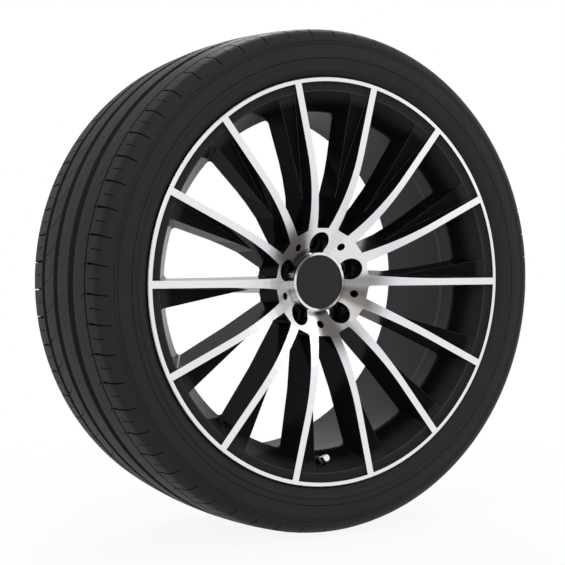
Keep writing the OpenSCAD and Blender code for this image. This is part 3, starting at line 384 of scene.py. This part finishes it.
def finish_zones(name, materials_and_masks):
    """Geometry nodes group that gives each zone of a casting its finish, by a mask made of fields."""
    group = bpy.data.node_groups.new(name, "GeometryNodeTree")
    group.interface.new_socket("Geometry", in_out="INPUT", socket_type="NodeSocketGeometry")
    group.interface.new_socket("Geometry", in_out="OUTPUT", socket_type="NodeSocketGeometry")
    last = group.nodes.new("NodeGroupInput").outputs[0]
    for material, mask in materials_and_masks:
        coat = group.nodes.new("GeometryNodeSetMaterial")
        coat.inputs["Material"].default_value = material
        group.links.new(last, coat.inputs["Geometry"])
        if mask:
            group.links.new(mask(group), coat.inputs["Selection"])
        last = coat.outputs[0]
    end = group.nodes.new("NodeGroupOutput")
    group.links.new(last, end.inputs[0])
    return group


def turned_zone(tree):
    """The faces that the lathe reaches: no deeper than the dished cut and facing outboard, the boss
    round the cap, and the hub's pad and bore at the back."""
    position = tree.nodes.new("GeometryNodeInputPosition")
    split = node(tree, "ShaderNodeSeparateXYZ", Vector=position.outputs[0])
    squared = maths(tree, "ADD", maths(tree, "POWER", split.outputs[0], 2.0),
                    maths(tree, "POWER", split.outputs[2], 2.0))
    radius = maths(tree, "SQRT", squared)
    depth = maths(tree, "ADD", split.outputs[1], lip_depth)
    reach = maths(tree, "MAXIMUM", maths(tree, "SUBTRACT", dish_from, radius), 0.0)
    drop = maths(tree, "SUBTRACT", dish_radius ** 2, maths(tree, "POWER", reach, 2.0))
    dish = maths(tree, "SUBTRACT", dish_radius, maths(tree, "SQRT", drop))
    shallow = maths(tree, "LESS_THAN", depth, maths(tree, "ADD", dish, cut_depth))
    normal = tree.nodes.new("GeometryNodeInputNormal")
    way = node(tree, "ShaderNodeSeparateXYZ", Vector=normal.outputs[0])
    facing = maths(tree, "LESS_THAN", way.outputs[1], outboard_limit)
    inside = maths(tree, "LESS_THAN", radius, lip_edge_r)
    front = maths(tree, "MULTIPLY", maths(tree, "MULTIPLY", shallow, facing), inside)
    deep = maths(tree, "GREATER_THAN", depth, pad_from)
    near = maths(tree, "LESS_THAN", radius, pad_r)
    inboard = maths(tree, "GREATER_THAN", way.outputs[1], inboard_limit)
    pad = maths(tree, "MULTIPLY", maths(tree, "MULTIPLY", deep, near), inboard)
    bore = maths(tree, "LESS_THAN", radius, bore_r)
    boss = maths(tree, "MULTIPLY", maths(tree, "LESS_THAN", radius, boss_foot_r),
                 maths(tree, "LESS_THAN", depth, boss_foot))
    return maths(tree, "MAXIMUM", maths(tree, "MAXIMUM", front, pad), maths(tree, "MAXIMUM", bore, boss))


wheel = nodes["alloy_wheel"]
wheel.data.materials.clear()
for finish in (paint, turned_face):
    wheel.data.materials.append(finish)
wheel.modifiers.new("finishes", "NODES").node_group = finish_zones(
    "wheel_finishes", [(paint, None), (turned_face, turned_zone)])


# Tyre
# Black moulded rubber: bare sidewalls with fine rings from the mould and a darker tread. The shoulder
# blocks carry painted shade and light: black beside the thin groove, grey towards their outer edge.
wall_from = 0.276
wall_fade = 0.004
shoulder_at = 0.322
shoulder_fade = 0.006
thin_groove_at = 0.1035
groove_fade = 0.0005
edge_at = 0.121

tyre_rubber, tree, shader = new_material("tyre_rubber")
place = grouped(tree, axis_place)
rings = grouped(tree, lathe_rings, Radius=place.outputs["Radius"], Pitch=0.0011)
cloud = grouped(tree, mottle, Size=0.045)
raised(tree, shader, cloud.outputs["Height"], 0.0002, 0.12, 0.0008)
past_bead = rise(tree, place.outputs["Radius"], wall_from - wall_fade, wall_from + wall_fade)
past_wall = rise(tree, place.outputs["Radius"], shoulder_at - wall_fade / 2, shoulder_at + shoulder_fade)
on_wall = maths(tree, "MULTIPLY", past_bead, maths(tree, "SUBTRACT", 1.0, past_wall))
from_middle = maths(tree, "ABSOLUTE", maths(tree, "SUBTRACT", place.outputs["Along"], lip_depth))
shoulder = rise(tree, from_middle, thin_groove_at, thin_groove_at + groove_fade)
# Painted shade and light on the shoulder blocks: black beside the thin groove, grey towards their outer
# edge.
shoulder_painted_light = rise(tree, from_middle, thin_groove_at, edge_at)
past_shoulder = rise(tree, place.outputs["Radius"], shoulder_at, shoulder_at + shoulder_fade)
painted_shoulder_mask = maths(tree, "MULTIPLY", shoulder, past_shoulder)
tread_tone = blend(tree, cloud.outputs["Shade"], (0.009, 0.0085, 0.0083), (0.0155, 0.0147, 0.0144))
wall_tone = blend(tree, cloud.outputs["Shade"], (0.0205, 0.0189, 0.0187), (0.0325, 0.0302, 0.0298))
rubber = blend(tree, on_wall, tread_tone, wall_tone)
ring_share = maths(tree, "MULTIPLY", maths(tree, "MULTIPLY", rings.outputs["Shade"], on_wall), 0.4)
ringed = blend(tree, ring_share, rubber, (0.005, 0.005, 0.005))
painted_shoulder_shading = blend(tree, shoulder_painted_light, (0.0075, 0.007, 0.007), (0.026, 0.0235, 0.0225))
rubber_with_painted_shoulders = blend(tree, maths(tree, "MULTIPLY", painted_shoulder_mask, 0.6), ringed, painted_shoulder_shading)
linked(tree, shader, Base_Color=rubber_with_painted_shoulders,
       Roughness=maths(tree, "ADD", maths(tree, "MULTIPLY", cloud.outputs["Shade"], 0.15), 0.5))
shader.inputs["Specular IOR Level"].default_value = 0.12
nodes["tyre"].data.materials.clear()
nodes["tyre"].data.materials.append(tyre_rubber)


# Centre cap
# Black plastic body with spring steel behind its fingers, and a plain disc in dark satin lacquer.
def dressed(material, *names):
    """Gives CAD nodes their one material."""
    for name in names:
        nodes[name].data.materials.clear()
        nodes[name].data.materials.append(material)


def moulded(name, dark, light, rough, specular):
    """Moulded plastic or rubber: slightly uneven colour, fine grain, soft edges."""
    made, tree, shader = new_material(name)
    cloud = grouped(tree, mottle, Size=0.004)
    raised(tree, shader, cloud.outputs["Height"], 0.00005, 0.2, 0.0002)
    linked(tree, shader, Base_Color=blend(tree, cloud.outputs["Shade"], dark, light),
           Roughness=maths(tree, "ADD", maths(tree, "MULTIPLY", cloud.outputs["Shade"], 0.2), rough))
    shader.inputs["Specular IOR Level"].default_value = specular
    return made


def machined(name, dark, light, rough, centre, axis):
    """Turned metal with fine rings about an axis."""
    made, tree, shader = new_material(name)
    place = grouped(tree, axis_place, Centre=centre, Axis=axis)
    across = maths(tree, "ADD", place.outputs["Radius"], place.outputs["Along"])
    rings = grouped(tree, lathe_rings, Radius=across, Pitch=0.00012)
    raised(tree, shader, rings.outputs["Height"], 0.00001, 0.3, 0.0002)
    linked(tree, shader, Base_Color=blend(tree, rings.outputs["Shade"], dark, light),
           Roughness=maths(tree, "ADD", maths(tree, "MULTIPLY", rings.outputs["Shade"], 0.15), rough))
    shader.inputs["Metallic"].default_value = 1.0
    return made


dressed(moulded("cap_plastic", (0.008, 0.008, 0.009), (0.016, 0.016, 0.017), 0.4, 0.3), "cap_body")

cap_lacquer, tree, shader = new_material("cap_lacquer")
cloud = grouped(tree, mottle, Size=0.02)
raised(tree, shader, cloud.outputs["Height"], 0.00004, 0.1, 0.0003)
lacquer = blend(tree, cloud.outputs["Shade"], (0.0185, 0.0185, 0.022), (0.024, 0.0235, 0.027))
linked(tree, shader, Base_Color=lacquer,
       Roughness=maths(tree, "ADD", maths(tree, "MULTIPLY", cloud.outputs["Shade"], 0.1), 0.3))
shader.inputs["Specular IOR Level"].default_value = 0.15
dressed(cap_lacquer, "cap_disc")

wheel_centre = (0.0, 0.0, 0.0)
wheel_axis = (0.0, 1.0, 0.0)
spring_steel = machined("spring_steel", (0.32, 0.32, 0.33), (0.5, 0.5, 0.5), 0.3, wheel_centre, wheel_axis)
dressed(spring_steel, "cap_spring_ring", "core_spring")


# Valve
# Clamp-in stem of dark anodised aluminium with its washer, seal and nut; a bright nickelled dust cap
# with a rubber seal, and the core: brass plug, pale plastic sleeve, steel pin and spring, rubber seal.
turn_joint = next(joint for joint in frame["joints"] if joint["name"] == "dust_cap_turn")
valve_centre = tuple(turn_joint["pos_m"])
valve_axis = tuple(turn_joint["axis"])

anodised = machined("anodised_aluminium", (0.018, 0.018, 0.019), (0.036, 0.036, 0.037), 0.3,
                    valve_centre, valve_axis)
dressed(anodised, "valve_stem", "valve_nut", "valve_washer")
nickel = machined("nickel_plate", (0.66, 0.65, 0.63), (0.88, 0.87, 0.86), 0.16,
                  valve_centre, valve_axis)
dressed(nickel, "valve_cap")
zinc_steel = machined("zinc_steel", (0.45, 0.45, 0.46), (0.62, 0.62, 0.63), 0.3,
                      valve_centre, valve_axis)
dressed(zinc_steel, "core_pin", "sensor_screw")
brass = machined("brass", (0.52, 0.36, 0.14), (0.72, 0.52, 0.24), 0.25, valve_centre, valve_axis)
dressed(brass, "core_plug")
dressed(moulded("seal_rubber", (0.012, 0.012, 0.012), (0.024, 0.024, 0.024), 0.55, 0.25),
        "valve_seal", "valve_cap_seal", "core_cup_seal")
dressed(moulded("sleeve_plastic", (0.75, 0.74, 0.70), (0.85, 0.84, 0.80), 0.35, 0.3), "core_sleeve")


# Pressure sensor
# Black glass-filled housing screwed to the foot of the stem, with two sealed cover plates.
dressed(moulded("sensor_plastic", (0.012, 0.012, 0.013), (0.03, 0.03, 0.031), 0.5, 0.3), "sensor_housing")
dressed(moulded("sensor_resin", (0.004, 0.004, 0.004), (0.012, 0.012, 0.012), 0.2, 0.4), "sensor_cover")
